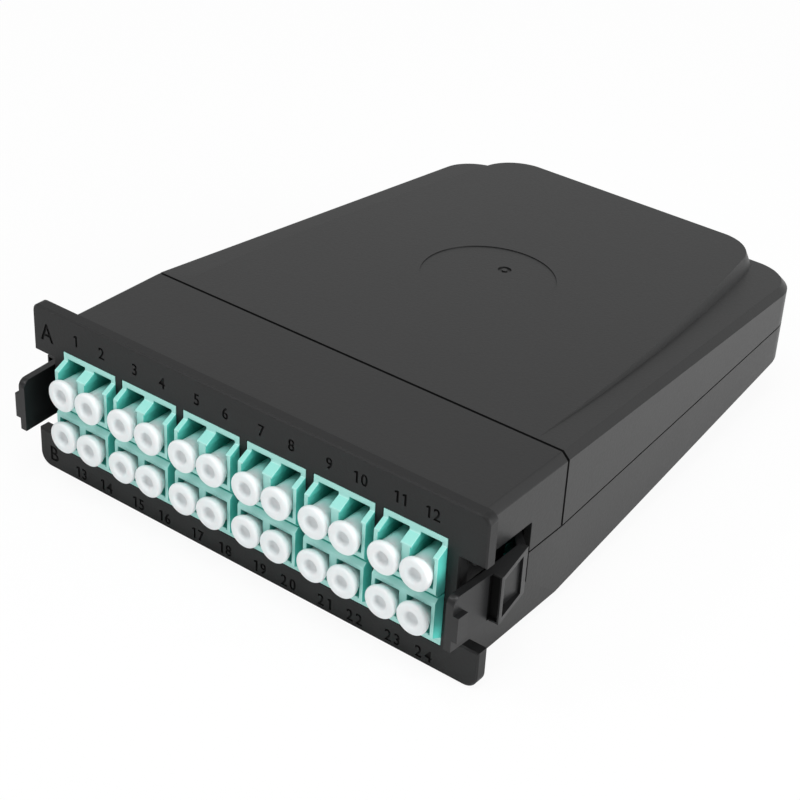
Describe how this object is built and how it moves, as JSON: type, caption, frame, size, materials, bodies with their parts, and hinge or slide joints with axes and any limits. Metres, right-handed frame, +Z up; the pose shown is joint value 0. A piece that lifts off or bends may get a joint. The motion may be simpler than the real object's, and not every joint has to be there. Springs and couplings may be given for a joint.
{
  "type": "fibre cassette",
  "caption": "Flat black fibre patching cassette: rows of aqua duplex ports with dust caps in a faceplate, squeeze levers at the sides, tapered two-part housing.",
  "frame": {"origin": "middle of the whole length and width, on the level of the faceplate's lower edge", "axes": "+X to the right seen from the front, +Y from the faceplate to the rear wall, +Z up"},
  "size_m": [0.0984, 0.1334, 0.0331],
  "materials": {
    "housing_plastic": "black moulded polycarbonate blend with a soft sheen",
    "lever_plastic": "black moulded acetal, soft sheen",
    "aqua_adapter": "aqua moulded plastic",
    "clear_cap": "translucent natural polyethylene",
    "rear_adapter": "black moulded plastic",
    "rear_cap": "soft black dust cap",
    "screw_steel": "black zinc plated steel"
  },
  "bodies": {
    "cassette": {"base_tray": "housing_plastic", "rear_cover": "housing_plastic", "front_cover": "housing_plastic", "faceplate": "housing_plastic", "lc_adapter_01": "aqua_adapter", "lc_adapter_02": "aqua_adapter", "lc_adapter_03": "aqua_adapter", "lc_adapter_04": "aqua_adapter", "lc_adapter_05": "aqua_adapter", "lc_adapter_06": "aqua_adapter", "lc_adapter_07": "aqua_adapter", "lc_adapter_08": "aqua_adapter", "lc_adapter_09": "aqua_adapter", "lc_adapter_10": "aqua_adapter", "lc_adapter_11": "aqua_adapter", "lc_adapter_12": "aqua_adapter", "mpo_adapter_a": "rear_adapter", "mpo_adapter_b": "rear_adapter", "cover_screws": "screw_steel"},
    "cap_01": {"dust_cap_01": "clear_cap"},
    "cap_02": {"dust_cap_02": "clear_cap"},
    "cap_03": {"dust_cap_03": "clear_cap"},
    "cap_04": {"dust_cap_04": "clear_cap"},
    "cap_05": {"dust_cap_05": "clear_cap"},
    "cap_06": {"dust_cap_06": "clear_cap"},
    "cap_07": {"dust_cap_07": "clear_cap"},
    "cap_08": {"dust_cap_08": "clear_cap"},
    "cap_09": {"dust_cap_09": "clear_cap"},
    "cap_10": {"dust_cap_10": "clear_cap"},
    "cap_11": {"dust_cap_11": "clear_cap"},
    "cap_12": {"dust_cap_12": "clear_cap"},
    "cap_13": {"dust_cap_13": "clear_cap"},
    "cap_14": {"dust_cap_14": "clear_cap"},
    "cap_15": {"dust_cap_15": "clear_cap"},
    "cap_16": {"dust_cap_16": "clear_cap"},
    "cap_17": {"dust_cap_17": "clear_cap"},
    "cap_18": {"dust_cap_18": "clear_cap"},
    "cap_19": {"dust_cap_19": "clear_cap"},
    "cap_20": {"dust_cap_20": "clear_cap"},
    "cap_21": {"dust_cap_21": "clear_cap"},
    "cap_22": {"dust_cap_22": "clear_cap"},
    "cap_23": {"dust_cap_23": "clear_cap"},
    "cap_24": {"dust_cap_24": "clear_cap"},
    "rear_cap_a": {"mpo_cap_a": "rear_cap"},
    "rear_cap_b": {"mpo_cap_b": "rear_cap"},
    "lever_left": {"latch_left": "lever_plastic"},
    "lever_right": {"latch_right": "lever_plastic"}
  },
  "joints": [
    {"name": "pull_cap_01", "type": "slide", "parent": "cassette", "child": "cap_01", "axis": [0, -1, 0], "range_m": [0, 0.01]},
    {"name": "pull_cap_02", "type": "slide", "parent": "cassette", "child": "cap_02", "axis": [0, -1, 0], "range_m": [0, 0.01]},
    {"name": "pull_cap_03", "type": "slide", "parent": "cassette", "child": "cap_03", "axis": [0, -1, 0], "range_m": [0, 0.01]},
    {"name": "pull_cap_04", "type": "slide", "parent": "cassette", "child": "cap_04", "axis": [0, -1, 0], "range_m": [0, 0.01]},
    {"name": "pull_cap_05", "type": "slide", "parent": "cassette", "child": "cap_05", "axis": [0, -1, 0], "range_m": [0, 0.01]},
    {"name": "pull_cap_06", "type": "slide", "parent": "cassette", "child": "cap_06", "axis": [0, -1, 0], "range_m": [0, 0.01]},
    {"name": "pull_cap_07", "type": "slide", "parent": "cassette", "child": "cap_07", "axis": [0, -1, 0], "range_m": [0, 0.01]},
    {"name": "pull_cap_08", "type": "slide", "parent": "cassette", "child": "cap_08", "axis": [0, -1, 0], "range_m": [0, 0.01]},
    {"name": "pull_cap_09", "type": "slide", "parent": "cassette", "child": "cap_09", "axis": [0, -1, 0], "range_m": [0, 0.01]},
    {"name": "pull_cap_10", "type": "slide", "parent": "cassette", "child": "cap_10", "axis": [0, -1, 0], "range_m": [0, 0.01]},
    {"name": "pull_cap_11", "type": "slide", "parent": "cassette", "child": "cap_11", "axis": [0, -1, 0], "range_m": [0, 0.01]},
    {"name": "pull_cap_12", "type": "slide", "parent": "cassette", "child": "cap_12", "axis": [0, -1, 0], "range_m": [0, 0.01]},
    {"name": "pull_cap_13", "type": "slide", "parent": "cassette", "child": "cap_13", "axis": [0, -1, 0], "range_m": [0, 0.01]},
    {"name": "pull_cap_14", "type": "slide", "parent": "cassette", "child": "cap_14", "axis": [0, -1, 0], "range_m": [0, 0.01]},
    {"name": "pull_cap_15", "type": "slide", "parent": "cassette", "child": "cap_15", "axis": [0, -1, 0], "range_m": [0, 0.01]},
    {"name": "pull_cap_16", "type": "slide", "parent": "cassette", "child": "cap_16", "axis": [0, -1, 0], "range_m": [0, 0.01]},
    {"name": "pull_cap_17", "type": "slide", "parent": "cassette", "child": "cap_17", "axis": [0, -1, 0], "range_m": [0, 0.01]},
    {"name": "pull_cap_18", "type": "slide", "parent": "cassette", "child": "cap_18", "axis": [0, -1, 0], "range_m": [0, 0.01]},
    {"name": "pull_cap_19", "type": "slide", "parent": "cassette", "child": "cap_19", "axis": [0, -1, 0], "range_m": [0, 0.01]},
    {"name": "pull_cap_20", "type": "slide", "parent": "cassette", "child": "cap_20", "axis": [0, -1, 0], "range_m": [0, 0.01]},
    {"name": "pull_cap_21", "type": "slide", "parent": "cassette", "child": "cap_21", "axis": [0, -1, 0], "range_m": [0, 0.01]},
    {"name": "pull_cap_22", "type": "slide", "parent": "cassette", "child": "cap_22", "axis": [0, -1, 0], "range_m": [0, 0.01]},
    {"name": "pull_cap_23", "type": "slide", "parent": "cassette", "child": "cap_23", "axis": [0, -1, 0], "range_m": [0, 0.01]},
    {"name": "pull_cap_24", "type": "slide", "parent": "cassette", "child": "cap_24", "axis": [0, -1, 0], "range_m": [0, 0.01]},
    {"name": "pull_rear_cap_a", "type": "slide", "parent": "cassette", "child": "rear_cap_a", "axis": [0, 1, 0], "range_m": [0, 0.01]},
    {"name": "pull_rear_cap_b", "type": "slide", "parent": "cassette", "child": "rear_cap_b", "axis": [0, 1, 0], "range_m": [0, 0.01]},
    {"name": "squeeze_left", "type": "hinge", "parent": "cassette", "child": "lever_left", "pos_m": [-0.0417, -0.0316, 0.0157], "axis": [0, 0, 1], "range_deg": [0, 3.3], "stiffness_Nm_per_rad": 0.6},
    {"name": "squeeze_right", "type": "hinge", "parent": "cassette", "child": "lever_right", "pos_m": [0.0417, -0.0316, 0.0157], "axis": [0, 0, -1], "range_deg": [0, 3.3], "stiffness_Nm_per_rad": 0.6}
  ]
}
